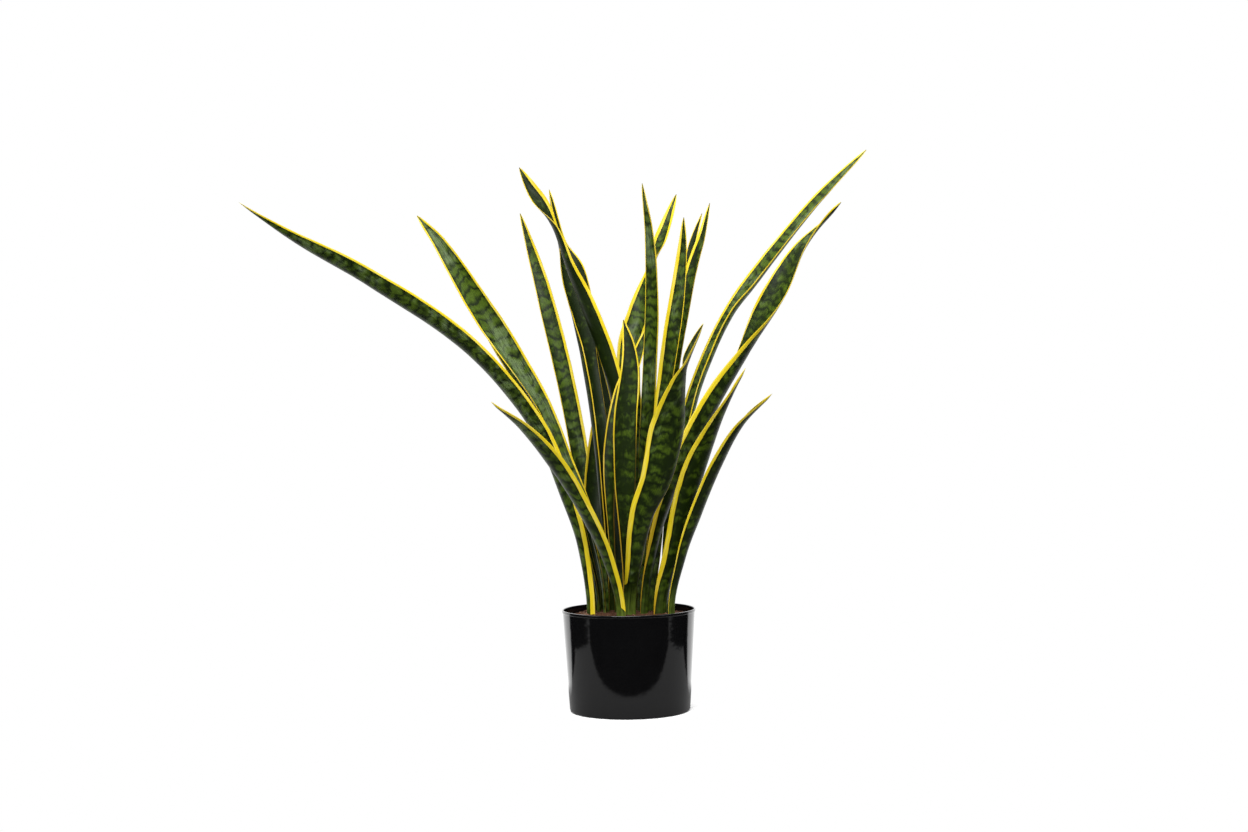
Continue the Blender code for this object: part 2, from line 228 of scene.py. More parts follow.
# name, share of LEAF_WIDTH, channel half-angle (degrees), width share at the foot, share of
# the length by which it is at full width, share that tapers, stations (x, y, height, turn).
LEAVES = [
    ("leaf_01", 0.89, 62, 0.54, 0.34, 0.37, [
        (-48, 6, 0, 100), (-58, 6, 88, 105), (-74, 3, 142, 110), (-112, -6, 238, 112),
        (-195, -30, 341, 113), (-313, -60, 424, 113), (-407, -81, 478, 110),
        (-466, -96, 518, 100)]),
    ("leaf_02", 0.66, 50, 0.42, 0.42, 0.38, [
        (-29, 14, 0, 70), (-44, 11, 107, 70), (-79, 8, 197, 65), (-105, 5, 263, 60),
        (-139, 4, 322, 45), (-182, -1, 391, 15), (-232, -7, 474, 0), (-260, -7, 509, 0)]),
    ("leaf_03", 0.88, 62, 0.54, 0.42, 0.38, [
        (-10, -28, 0, 105), (-25, -40, 72, 108), (-51, -61, 132, 112), (-85, -88, 191, 120),
        (-124, -115, 240, 118), (-160, -136, 270, 110)]),
    ("leaf_04", 0.43, 50, 0.50, 0.42, 0.38, [
        (-38, 28, 0, 80), (-59, 43, 110, 72), (-82, 52, 190, 66), (-118, 52, 264, 60),
        (-156, 52, 324, 60), (-182, 52, 366, 50)]),
    ("leaf_05", 0.47, 40, 0.55, 0.42, 0.38, [
        (-33, 51, 0, 20), (-50, 104, 116, 15), (-65, 124, 220, 10), (-84, 136, 320, 5),
        (-111, 154, 433, -5), (-126, 164, 486, -10), (-140, 172, 532, -10)]),
    ("leaf_06", 0.82, 58, 0.45, 0.42, 0.38, [
        (0, 35, 0, 100), (0, 52, 169, 105), (-12, 78, 278, 112), (-26, 83, 334, 115),
        (-40, 84, 374, 112), (-56, 88, 415, 108), (-70, 90, 449, 98), (-86, 94, 496, 90),
        (-97, 96, 518, 70), (-119, 100, 554, 10), (-136, 100, 584, 0)]),
    ("leaf_07", 0.79, 72, 0.45, 0.42, 0.34, [
        (-24, 35, 0, 60), (-28, 41, 129, 62), (-35, 54, 229, 62), (-47, 84, 315, 60),
        (-56, 112, 370, 42), (-66, 138, 437, 10), (-85, 156, 495, 70), (-100, 178, 565, 60)]),
    ("leaf_08", 0.56, 45, 0.55, 0.42, 0.38, [
        (-43, 41, 0, 30), (-46, 76, 119, 20), (-42, 94, 169, 10), (-37, 118, 225, 0),
        (-33, 126, 280, -10)]),
    ("leaf_09", 0.43, 45, 0.55, 0.42, 0.38, [
        (-11, 53, 0, 0), (-20, 100, 139, 0), (-28, 138, 256, 0), (-42, 150, 328, 10),
        (-55, 156, 376, 15), (-64, 160, 425, 10)]),
    ("leaf_10", 0.45, 45, 0.36, 0.60, 0.38, [
        (-15, 14, 0, -60), (-20, 11, 109, -55), (-19, 22, 202, -30), (-4, 40, 281, -20),
        (16, 77, 330, -10), (31, 101, 372, 0)]),
    ("leaf_11", 0.59, 50, 0.36, 0.60, 0.38, [
        (-1, 8, 0, 0), (-1, -10, 114, 0), (-2, -16, 176, 0), (0, -22, 251, 0),
        (6, -22, 301, -5), (6, -19, 335, -10), (-1, -13, 373, -10)]),
    ("leaf_12", 0.54, 50, 0.50, 0.42, 0.38, [
        (17, 31, 0, -30), (20, 50, 89, -40), (28, 54, 211, -45), (35, 50, 328, -50),
        (38, 42, 403, -50), (35, 32, 485, -50), (26, 24, 550, -50)]),
    ("leaf_13", 0.61, 45, 0.45, 0.42, 0.38, [
        (7, 57, 0, 0), (8, 98, 207, 0), (6, 118, 341, -10), (21, 130, 393, -20),
        (39, 142, 456, -70), (52, 152, 493, -30), (74, 166, 554, -10)]),
    ("leaf_14", 0.50, 50, 0.45, 0.42, 0.38, [
        (30, 21, 0, -20), (37, 34, 90, -20), (40, 36, 140, -20), (44, 20, 220, -35),
        (52, 7, 293, -40), (61, -4, 355, -30), (69, -10, 407, -25), (75, -14, 461, -20),
        (77, -20, 500, -20)]),
    ("leaf_15", 0.57, 55, 0.50, 0.42, 0.38, [
        (32, 42, 0, -40), (38, 62, 130, -40), (49, 62, 233, -40), (65, 64, 326, -45),
        (76, 69, 383, -45), (92, 78, 447, -48), (105, 84, 489, -48), (116, 93, 532, -50)]),
    ("leaf_16", 0.39, 45, 0.50, 0.42, 0.38, [
        (24, 56, 0, -10), (34, 83, 140, -15), (50, 101, 272, -20), (72, 116, 379, -20),
        (87, 130, 447, -30), (94, 140, 484, -30), (108, 155, 526, -30)]),
    ("leaf_17", 1.00, 60, 0.38, 0.62, 0.42, [
        (2, -9, 0, -160), (8, -34, 65, -155), (20, -62, 128, -154), (39, -86, 176, -157),
        (52, -106, 234, -155), (65, -128, 290, -120), (72, -136, 314, -95),
        (93, -160, 358, -90)]),
    ("leaf_18", 0.80, 62, 0.70, 0.42, 0.38, [
        (42, 2, 0, -128), (61, -9, 87, -133), (84, -23, 173, -142), (109, -36, 233, -118),
        (132, -48, 279, -100), (149, -58, 308, -100)]),
    ("leaf_19", 0.71, 62, 0.46, 0.42, 0.38, [
        (54, -11, 0, -105), (68, -23, 75, -108), (87, -37, 130, -114), (112, -58, 190, -114),
        (140, -82, 239, -112), (177, -109, 275, -110)]),
    ("leaf_20", 0.93, 62, 0.50, 0.34, 0.38, [
        (20, 5, 0, -100), (31, 5, 80, -100), (50, 4, 144, -105), (81, 6, 212, -115),
        (112, 6, 268, -112), (152, 10, 332, -88), (197, 12, 408, -50), (229, 16, 465, -70),
        (280, 18, 521, -110)]),
    ("leaf_21", 0.71, 60, 0.50, 0.42, 0.38, [
        (48, 24, 0, -60), (60, 53, 150, -65), (88, 75, 270, -70), (110, 87, 328, -72),
        (139, 99, 385, -73), (166, 108, 421, -66), (229, 123, 499, -65), (269, 132, 545, -62),
        (331, 141, 607, -60)]),
]
print(len(LEAVES), "leaves in the table")

# %% [markdown]
# ## The line that a leaf follows
#
# A leaf leaves the soil upright and then arches, with no corners. A Hermite curve through the
# stations does this: it passes through every station, and its first slope can be set straight
# up. It is sampled evenly, closely enough that the ripples and bands come out smooth.

# %% The spine of a leaf
ROWS_ALONG = 170
FOOT_ROWS = 4


def new_object(name, data):
    """Put a mesh, light or camera into the scene."""
    item = bpy.data.objects.new(name, data)
    bpy.context.scene.collection.objects.link(item)
    return item


def spine_samples(stations):
    """Evenly spaced rows (x, y, z, turn) from the soil to the tip."""
    knots = np.array([(x * MILLIMETRE, y * MILLIMETRE,
                       SOIL_TOP + max(height * MILLIMETRE, LEAF_COLLAR), math.radians(turn))
                      for x, y, height, turn in stations])
    steps = np.linalg.norm(np.diff(knots[:, :3], axis=0), axis=1)
    at = np.concatenate([[0.0], np.cumsum(steps)])
    slopes = np.empty_like(knots)
    slopes[1:-1] = (knots[2:] - knots[:-2]) / (at[2:] - at[:-2])[:, None]
    slopes[0] = (knots[1] - knots[0]) / steps[0]
    slopes[-1] = (knots[-1] - knots[-2]) / steps[-1]
    slopes[0, :3] = (0.0, 0.0, 1.0)
    along = np.linspace(0.0, at[-1], ROWS_ALONG)
    i = np.clip(np.searchsorted(at, along, side="right") - 1, 0, len(steps) - 1)
    h = steps[i][:, None]
    t = ((along - at[i]) / steps[i])[:, None]
    rows = ((2 * t**3 - 3 * t**2 + 1) * knots[i] + (t**3 - 2 * t**2 + t) * h * slopes[i]
            + (3 * t**2 - 2 * t**3) * knots[i + 1] + (t**3 - t**2) * h * slopes[i + 1])
    return rows, along


def spine_object(name, stations, margins):
    """A line of points that carries what the blade needs at each row."""
    rows, along = spine_samples(stations)
    foot = np.repeat(rows[:1], FOOT_ROWS, axis=0)
    foot[:, 2] = np.linspace(SOIL_TOP - LEAF_FOOT_DEPTH, SOIL_TOP, FOOT_ROWS)
    points = np.vstack([foot, rows])
    share = np.concatenate([np.zeros(FOOT_ROWS), along / along[-1]])
    distance = np.concatenate([foot[:, 2] - SOIL_TOP - LEAF_COLLAR, along]) + LEAF_COLLAR
    upward = np.gradient(points[:, :3], axis=0)
    upward[:FOOT_ROWS + 1] = (0.0, 0.0, 1.0)
    upward /= np.linalg.norm(upward, axis=1)[:, None]
    turn = points[:, 3]
    look = np.stack([np.sin(turn), -np.cos(turn), np.zeros_like(turn)], axis=1)
    inward = look - np.sum(look * upward, axis=1)[:, None] * upward
    inward /= np.linalg.norm(inward, axis=1)[:, None]
    mesh = bpy.data.meshes.new(name)
    mesh.from_pydata(points[:, :3].tolist(), [(n, n + 1) for n in range(len(points) - 1)], [])
    at_share = np.array([row[0] for row in margins])
    borders = np.stack([np.interp(share, at_share, [row[column] for row in margins])
                        for column in (1, 2, 3)], axis=1)
    for label, values in (("upward", upward), ("inward", inward), ("borders", borders)):
        mesh.attributes.new(label, "FLOAT_VECTOR", "POINT").data.foreach_set(
            "vector", values.astype(np.float32).ravel())
    for label, values in (("share", share), ("distance", distance)):
        mesh.attributes.new(label, "FLOAT", "POINT").data.foreach_set(
            "value", values.astype(np.float32))
    return new_object(name, mesh)


print("rows on a leaf:", ROWS_ALONG + FOOT_ROWS)

# %% [markdown]
# ## A blade from one rule
#
# Every leaf of this plant is built alike: a flattened lens in section, bent into a channel
# that is tight at the foot and opens towards the tip. Modelling twenty-one of them by hand
# would take days, and a plain extrusion would have no rounded margin. So one Geometry Nodes
# tree makes the blade. It starts from a grid, rolls each row into the bent lens, and sets it
# on the matching row of the spine. The foot and the tip close by pinching to a line.

# %% The blade tree
POINTS_AROUND = 36
TIP_WIDTH = 0.0009
TIP_BLUNTNESS = 0.65
FOOT_CHANNEL = 1.25
TIP_CHANNEL = 0.65
MARGIN_THICKNESS = 0.62
TIP_THICKNESS = 0.6
SQUARENESS = 0.45
WEAVE = 0.05
MERGE_DISTANCE = 0.00002


def ease(value):
    """Smooth step of a wire, held between 0 and 1."""
    return ramp(value, 0.0, 1.0)


def carried(tree, label, kind="FLOAT_VECTOR"):
    """What a mesh carries under a name."""
    return add_node(tree, "GeometryNodeInputNamedAttribute", {"data_type": kind},
                    {"Name": label})


def sampled(spine, row, value, kind="FLOAT_VECTOR"):
    """A value of the spine at a row."""
    return add_node(spine.tree, "GeometryNodeSampleIndex", {"data_type": kind},
                    {"Geometry": spine, "Value": value, "Index": row})


def stored(mesh, label, value):
    """Keep a vector on the mesh's points under a name."""
    return add_node(mesh.tree, "GeometryNodeStoreNamedAttribute",
                    {"data_type": "FLOAT_VECTOR", "domain": "POINT"},
                    {"Geometry": mesh, "Name": label, "Value": value})


def position(tree):
    """Where a point is."""
    return add_node(tree, "GeometryNodeInputPosition", {}, {})


def moved(mesh, **where):
    """Put a geometry's points at a Position or shift them by an Offset."""
    return add_node(mesh.tree, "GeometryNodeSetPosition", {}, {"Geometry": mesh, **where})


BLADE_INPUTS = (("Width", "Float"), ("Channel", "Float"), ("Foot share", "Float"),
                ("Full share", "Float"), ("Taper share", "Float"), ("Thickness", "Float"),
                ("Ripple", "Float"), ("Seed", "Float"), ("Skin", "Material"))


def new_tree(name, inputs):
    """A geometry tree with a mesh in and out and the named inputs between."""
    tree = bpy.data.node_groups.new(name, "GeometryNodeTree")
    tree.interface.new_socket("Mesh", in_out="OUTPUT", socket_type="NodeSocketGeometry")
    tree.interface.new_socket("Start", in_out="INPUT", socket_type="NodeSocketGeometry")
    for label, kind in inputs:
        tree.interface.new_socket(label, in_out="INPUT", socket_type="NodeSocket" + kind)
    group = tree.nodes.new("NodeGroupInput")
    wires = {socket.name: Wire(tree, socket) for socket in group.outputs if socket.name}
    return tree, wires


def painted(mesh, skin):
    """Give a geometry its material."""
    return add_node(mesh.tree, "GeometryNodeSetMaterial", {},
                    {"Geometry": mesh, "Material": skin})


def close_tree(mesh):
    """End a tree with real geometry."""
    real = add_node(mesh.tree, "GeometryNodeRealizeInstances", {}, {"Geometry": mesh})
    out = mesh.tree.nodes.new("NodeGroupOutput")
    mesh.tree.links.new(real.socket, out.inputs["Mesh"])


def blade_tree():
    """The tree that turns a spine into a leaf."""
    tree, inputs = new_tree("leaf_blade", BLADE_INPUTS)
    spine = inputs["Start"]
    rows = ROWS_ALONG + FOOT_ROWS
    grid = tree.nodes.new("GeometryNodeMeshGrid")
    for label, value in (("Size X", 1.0), ("Size Y", 1.0),
                         ("Vertices X", POINTS_AROUND + 1), ("Vertices Y", rows)):
        grid.inputs[label].default_value = value
    mesh = stored(Wire(tree, grid.outputs["Mesh"]), "unrolled",
                  Wire(tree, grid.outputs["UV Map"]))
    around, up, _ = parts(carried(tree, "unrolled"))
    row_number = up * (rows - 1.0)
    row = row_number.math("ROUND", row_number)

    place = sampled(spine, row, position(tree))
    upward = sampled(spine, row, carried(tree, "upward"))
    inward = sampled(spine, row, carried(tree, "inward"))
    share = sampled(spine, row, carried(tree, "share", "FLOAT"), "FLOAT")
    distance = sampled(spine, row, carried(tree, "distance", "FLOAT"), "FLOAT")
    borders = sampled(spine, row, carried(tree, "borders"))

    # How wide the blade is here, and how far it is channelled.
    foot_share = inputs["Foot share"]
    widening = foot_share + (1.0 - foot_share) * ease(share / inputs["Full share"])
    left_to_go = ((1.0 - share) / inputs["Taper share"]).least(1.0)
    quarter = left_to_go * (math.pi / 2)
    narrowing = quarter.math("SINE", quarter) ** TIP_BLUNTNESS
    width = (inputs["Width"] * widening * narrowing).most(TIP_WIDTH)
    wander = triple(tree, distance, inputs["Seed"], 0.0)
    width = width * (1.0 + WEAVE * (noise(wander, 28.0, 1.0) - 0.5))
    bend = inputs["Channel"] * (FOOT_CHANNEL - (FOOT_CHANNEL - 1.0) * ease(share / 0.3))
    bend = bend * (1.0 - (1.0 - TIP_CHANNEL) * ease((share - 0.55) / 0.45))

    # The lens: across runs from one margin to the other and back along the other face.
    turn = around * (2.0 * math.pi)
    across = -turn.math("COSINE", turn)
    face = turn.math("SINE", turn)
    ends = ease(left_to_go * 12.0) * ease((distance + LEAF_FOOT_DEPTH) * 600.0)
    fat = 1.0 - (1.0 - MARGIN_THICKNESS) * across * across
    fat = fat * (1.0 - (1.0 - TIP_THICKNESS) * ease((share - 0.6) / 0.4))
    half = inputs["Thickness"] * 0.5 * fat * ends
    side = face.math("SIGN", face) * abs(face) ** SQUARENESS

    # Ripples: the blade buckles a little, most of all towards its margins.
    flutter_place = triple(tree, across * 0.6, distance * 14.0, inputs["Seed"])
    flutter = (noise(flutter_place, 1.0, 2.0, 0.5) - 0.5) * inputs["Ripple"]
    flutter = flutter * ease(share * 5.0) * (0.25 + across * across)

    angle = bend * across
    radius = width / (bend * 2.0)
    sine, cosine = angle.math("SINE", angle), angle.math("COSINE", angle)
    bend_cosine = bend.math("COSINE", bend)
    lift = radius * ((1.0 - cosine) - (1.0 - bend_cosine) * 0.5)
    sideways = upward.vector_math("CROSS_PRODUCT", upward, inward)
    normal = inward * cosine - sideways * sine
    spot = (place + sideways * (radius * sine) + inward * lift
            + normal * (side * half + flutter))
    mesh = stored(moved(mesh, Position=spot), "blade", triple(tree, across, distance, width * 0.5))
    mesh = stored(mesh, "margins", borders)
    mesh = add_node(tree, "GeometryNodeMergeByDistance", {},
                    {"Geometry": mesh, "Distance": MERGE_DISTANCE})
    mesh = add_node(tree, "GeometryNodeSetShadeSmooth", {}, {"Geometry": mesh})
    close_tree(painted(mesh, inputs["Skin"]))
    return tree


BLADE = blade_tree()
print("blade tree:", len(BLADE.nodes), "nodes")

# %% [markdown]
# A modifier hands each leaf its own sizes. Its inputs are set by the sockets' identifiers,
# because their names are only labels, and the result is then kept as a plain mesh.

# %% Run a tree and keep its mesh


def settled(item, name):
    """Keep what an object's modifiers make as a plain mesh in a new piece."""
    bpy.context.view_layer.update()
    graph = bpy.context.evaluated_depsgraph_get()
    mesh = bpy.data.meshes.new_from_object(item.evaluated_get(graph))
    mesh.name = name
    bpy.data.objects.remove(item)
    return new_object(name, mesh)


def grow(start, tree, values, name):
    """Run a geometry tree on an object with these inputs and return the finished piece."""
    modifier = start.modifiers.new("Grow", "NODES")
    modifier.node_group = tree
    for socket in tree.interface.items_tree:
        if getattr(socket, "in_out", "") == "INPUT" and socket.name in values:
            modifier[socket.identifier] = values[socket.name]
    return settled(start, name)


print("ready to grow leaves")

# %% [markdown]
# ## Leaf skin
#
# The blade is dark green with rows of lighter green blobs, thin wavy near-black lines across
# it, and a yellow edge. Both patterns belong to the leaf and not to the room, so they are
# painted in the leaf's own measure: how far across it, how far along it and how far from its
# margin, in metres. A picture texture would do it too, but it would stretch where the leaf
# widens. A phase that counts the rows along the leaf, pushed to and fro by noise, gives both
# at once: its whole numbers are the lines and the stretches between them are the blobs. The
# palest leaves also carry a painted silvery sheen in place of reflected light, the darkest a
# painted shade, and at the foot a young leaf turns bright green.

# %% The colours of the leaf
LEAF_LINE = (0.0016, 0.0030, 0.0008)
LEAF_DEEP = (0.0080, 0.0160, 0.0018)
LEAF_GREEN = (0.0500, 0.0860, 0.0050)
# Painted sheen: a pale grey-green that stands in for light reflected off the palest leaves.
LEAF_PAINTED_SHEEN = (0.1300, 0.1800, 0.0850)
LEAF_BASE = (0.1000, 0.1450, 0.0180)
MARGIN_YELLOW = (0.590, 0.455, 0.012)
MARGIN_CREAM = (0.760, 0.660, 0.190)
MARGIN_OCHRE = (0.300, 0.150, 0.010)
print("greens from", LEAF_LINE, "to", LEAF_BASE)

# %% [markdown]
# The blade tree stored what the skin needs as attributes. These helpers read them, start a
# Principled material with its constant sockets set, and feed the ones that vary.

# %% Helpers for a skin
ROWS_PER_METRE = 72.0
ROW_SWAY = 2.2
ROW_SHIVER = 1.1
MARGIN_WAVE = 0.3
MARGIN_SOFTNESS = 0.00022
DARK_STRIP = 0.0035
RIND = 0.00045
STREAK_DEPTH = 0.00005
BUCKLE_DEPTH = 0.0010


def attribute(tree, name):
    """A vector that the blade tree stored on the mesh."""
    return add_node(tree, "ShaderNodeAttribute", {"attribute_name": name}, {}, 1)


def new_skin(name, constants):
    """A Principled material with these constant sockets; returns it, its tree and shader."""
    material = bpy.data.materials.new(name)
    material.use_nodes = True
    shader = material.node_tree.nodes["Principled BSDF"]
    for socket, value in constants.items():
        shader.inputs[socket].default_value = value
    return material, material.node_tree, shader


def feed(shader, socket, wire):
    """Link a wire to one of the shader's sockets."""
    wire.tree.links.new(wire.socket, shader.inputs[socket])


def bumped(height, depth, normal=None):
    """Turn a height wire, in depths of `depth` metres, into a normal."""
    sockets = {"Strength": 1.0, "Distance": depth, "Height": height}
    if normal is not None:
        sockets["Normal"] = normal
    return add_node(height.tree, "ShaderNodeBump", {}, sockets)


def leaf_skin(name, seed, shade, youth):
    """The skin of one leaf: how much lighter green it shows, with painted sheen when high and
    painted shade below zero, and how green its foot is.
    """
    material, tree, shader = new_skin(name, {"IOR": 1.42, "Specular IOR Level": 0.14,
                                             "Coat IOR": 1.4, "Coat Roughness": 0.25})
    across, distance, half = parts(attribute(tree, "blade"))
    left, right, ochre = parts(attribute(tree, "margins"))
    sideways = across * half
    from_edge = (1.0 - abs(across)) * half

    # Streaks run along the leaf; they are long in one direction and hair-fine in the other.
    streak = noise(triple(tree, sideways * 900.0, distance * 18.0, seed), 1.0, 2.0)
    hair = noise(triple(tree, sideways * 2600.0, distance * 60.0, seed + 3.0), 1.0, 1.0)

    # Rows of blobs with thin lines between them, bowed and broken by noise.
    sway = noise(triple(tree, sideways * 55.0, distance * 24.0, seed + 7.0), 1.0, 2.0, 0.5)
    shiver = noise(triple(tree, sideways * 170.0, distance * 80.0, seed + 8.0), 1.0, 3.0, 0.6)
    phase = distance * ROWS_PER_METRE + sway * ROW_SWAY + shiver * ROW_SHIVER
    row = abs(phase.math("FRACT", phase) - 0.5) * 2.0
    clump = noise(triple(tree, sideways * 75.0, distance * 58.0, seed + 4.0), 1.0, 2.0, 0.6)
    field = noise(triple(tree, sideways * 20.0, distance * 11.0, seed + 6.0), 1.0, 1.0)
    # A tone below zero darkens the blobs with painted shade; above zero it lightens them.
    blob = ramp(row + (shiver - 0.5) * 0.9, 1.0, 0.25) * ramp(clump + shade * 0.2, 0.40, 0.68)
    green = blend(blob, LEAF_DEEP, LEAF_GREEN)

    # Painted sheen in the palest blobs and down the middle of the palest leaves; dark veins.
    painted_silver_sheen = ramp(clump + shade * 0.1, 0.50, 0.75) * ramp(field + shade * 0.12, 0.52, 0.68)
    green = blend(painted_silver_sheen * ramp(streak, 0.8, 0.4) * 0.7, green, LEAF_PAINTED_SHEEN)
    # Painted sheen down the middle of the palest leaves, in place of a reflection.
    painted_middle_sheen = ramp(abs(across + (field - 0.5) * 0.9), 0.34, 0.05) * ramp(field, 0.38, 0.54)
    green = blend(painted_middle_sheen * ramp(hair, 0.75, 0.35) * min(max(shade - 0.7, 0.0) * 1.3, 0.7),
                  green, LEAF_PAINTED_SHEEN)
    line = ramp(row, 0.86, 0.98) * ramp(clump, 0.62, 0.42) * ramp(field, 0.35, 0.60)
    green = blend(line * 0.7, green, LEAF_LINE)
    vein = ramp(shiver, 0.53, 0.50) * ramp(shiver, 0.47, 0.50)
    green = blend(vein * ramp(clump, 0.40, 0.60) * 0.45, green, LEAF_LINE)
    green = blend(ramp(streak, 0.45, 0.8) * 0.45, green, LEAF_LINE)
    green = blend(ramp(distance, 0.048, 0.012) * ramp(streak, 0.8, 0.3) * youth, green,
                  LEAF_BASE)

    # The yellow margin: a wavy inner edge with a dark strip along it.
    border = (ramp(across, -0.02, 0.02) * (right - left) + left) * MILLIMETRE
    wavy = noise(triple(tree, sideways * 60.0, distance * 38.0, seed + 1.0), 1.0, 2.0) - 0.5
    border = (border * (0.86 + wavy * MARGIN_WAVE)).least(half * 0.55)
    shown = ramp(border, 0.0001, 0.0005)
    strip = ramp(from_edge - border, DARK_STRIP, 0.0) * shown
    green = blend(strip * 0.55, green, LEAF_LINE)
    yellow = ramp(border - from_edge, -MARGIN_SOFTNESS, MARGIN_SOFTNESS) * shown
    tone = noise(triple(tree, sideways * 420.0, distance * 22.0, seed + 2.0), 1.0, 2.0)
    gold = blend(ramp(tone, 0.45, 0.75) * 0.45, MARGIN_YELLOW, MARGIN_CREAM)
    gold = blend(ochre, gold, MARGIN_OCHRE)
    colour = blend(yellow, green, gold)
    rind = ramp(from_edge, RIND, 0.0) * ramp(half, 0.003, 0.008)
    feed(shader, "Base Color", blend(rind * 0.35, colour, MARGIN_OCHRE))

    wax = noise(triple(tree, sideways * 60.0, distance * 30.0, seed + 5.0), 1.0, 3.0)
    feed(shader, "Roughness", 0.36 + 0.16 * wax + 0.06 * hair)
    feed(shader, "Coat Weight", ramp(wax, 0.48, 0.75) * 0.10)
    relief = streak * 0.7 + hair * 0.3
    buckle = noise(triple(tree, sideways * 30.0, distance * 55.0, seed + 9.0), 1.0, 2.0)
    feed(shader, "Normal", bumped(relief, STREAK_DEPTH, bumped(buckle, BUCKLE_DEPTH)))
    return material


print("leaf skin ready")

# %% [markdown]
# ## How wide the yellow is
#
# No two leaves show the same amount of yellow. Some margins are narrow and ochre low down,
# others broad and bright, and some stop short of the soil. Each leaf therefore has its own few
# rows: a share of the length, the margin's width on its left and its right side in
# millimetres, and how far it turns ochre.
# Left and right are as seen from the leaf's hollow face, with its tip up.

# %% The margins of each leaf
MARGINS = {
    "leaf_01": [(0, 7.0, 0, 0), (0.2, 6.0, 0, 0), (0.45, 3.6, 0.8, 0), (1, 2.2, 1.6, 0)],
    "leaf_02": [(0, 0, 0, 0.6), (0.2, 0.5, 0.5, 0.5), (0.35, 2.6, 3.2, 0.1),
                (0.6, 3.0, 3.6, 0), (1, 2, 2.4, 0)],
    "leaf_03": [(0, 0, 0, 0), (0.012, 0, 0, 0), (0.03, 5.8, 0, 0), (0.5, 6.2, 0.5, 0),
                (1, 3.4, 1.6, 0)],
    "leaf_04": [(0, 0, 0, 0.6), (0.4, 1.2, 1.6, 0.3), (0.6, 2, 3.0, 0.1), (1, 2, 3, 0)],
    "leaf_05": [(0, 0, 0, 0.6), (0.2, 0.4, 2.4, 0.2), (0.4, 0.7, 4.6, 0), (1, 1.2, 3.6, 0)],
    "leaf_06": [(0, 0, 0, 0.6), (0.2, 1.0, 0, 0.4), (0.35, 4.4, 0.4, 0),
                (0.75, 5.0, 1.4, 0), (0.83, 2.0, 5.0, 0), (1, 1, 5, 0)],
    "leaf_07": [(0, 0, 0, 0.3), (0.1, 0.8, 0, 0.7), (0.16, 1.4, 0, 0.6), (0.6, 1.8, 0.6, 0.3),
                (0.8, 2, 2, 0), (1, 2, 2, 0)],
    "leaf_08": [(0, 0, 0, 0.8), (0.25, 0, 0, 0.7), (0.5, 3.4, 0, 0.35), (1, 4, 1, 0.1)],
    "leaf_09": [(0, 0, 0, 0.6), (0.4, 0.6, 0.6, 0.3), (1, 2, 2, 0)],
    "leaf_10": [(0, 0, 0, 0.8), (0.1, 1.0, 0, 0.7), (0.5, 1.9, 0.2, 0.5), (0.75, 2.4, 1, 0.1),
                (1, 2.6, 2, 0)],
    "leaf_11": [(0, 0, 0, 0.7), (0.1, 1.0, 0, 0.6), (0.45, 1.3, 0, 0.5),
                (0.6, 1.9, 0.4, 0.3), (0.75, 2.3, 2.2, 0), (1, 2.4, 2.4, 0)],
    "leaf_12": [(0, 0, 0, 0.5), (0.15, 0, 1.2, 0.4), (0.25, 0, 3.6, 0.1), (0.4, 0.4, 4.6, 0),
                (1, 1.4, 3.2, 0)],
    "leaf_13": [(0, 0, 0, 0.6), (0.4, 0.6, 0.8, 0.1), (0.6, 5, 3.6, 0), (1, 5.4, 3.6, 0)],
    "leaf_14": [(0, 0, 0, 0.8), (0.3, 0.8, 0, 0.5), (0.45, 3.0, 0.2, 0.15),
                (0.6, 5.6, 0.4, 0), (1, 4.6, 1.5, 0)],
    "leaf_15": [(0, 0, 0, 0.6), (0.4, 0.7, 0, 0.1), (0.55, 3.0, 0.2, 0), (1, 5, 0.8, 0)],
    "leaf_16": [(0, 0, 0, 0.6), (0.5, 0.6, 0.4, 0.1), (1, 1.2, 1.0, 0)],
    "leaf_17": [(0, 0, 0, 0.3), (0.05, 1.5, 0, 0.3), (0.095, 3.2, 0, 0.2),
                (0.105, 3.4, 5.2, 0.1), (0.16, 4.4, 7.2, 0), (0.5, 4.4, 8.2, 0),
                (0.62, 2.5, 7.6, 0), (0.8, 1.4, 5, 0), (1, 1.4, 3, 0)],
    "leaf_18": [(0, 0, 2.2, 0.75), (0.08, 0, 4.6, 0.4), (0.16, 0, 6.6, 0.12),
                (0.3, 0.3, 7.6, 0), (0.6, 0.8, 6.4, 0), (1, 3.0, 3, 0)],
    "leaf_19": [(0, 0, 0.5, 0.1), (0.2, 0, 1.4, 0.1), (0.4, 0.2, 3.2, 0), (0.7, 0.8, 4.2, 0),
                (1, 1.5, 3, 0)],
    "leaf_20": [(0, 0, 0.4, 0.8), (0.08, 0, 1.4, 0.7), (0.16, 0, 5.0, 0.45),
                (0.25, 0.2, 6.6, 0.25), (0.4, 0.4, 6.6, 0), (0.62, 1, 6.2, 0),
                (0.72, 3.2, 5.2, 0), (0.9, 2.2, 3.0, 0), (1, 1.5, 2.0, 0)],
    "leaf_21": [(0, 0, 0, 0.5), (0.2, 0.3, 0.4, 0.3), (0.35, 3.6, 1.4, 0),
                (0.5, 3.8, 2.2, 0), (1, 2.4, 2.2, 0)],
}
print("margins for", len(MARGINS), "leaves")
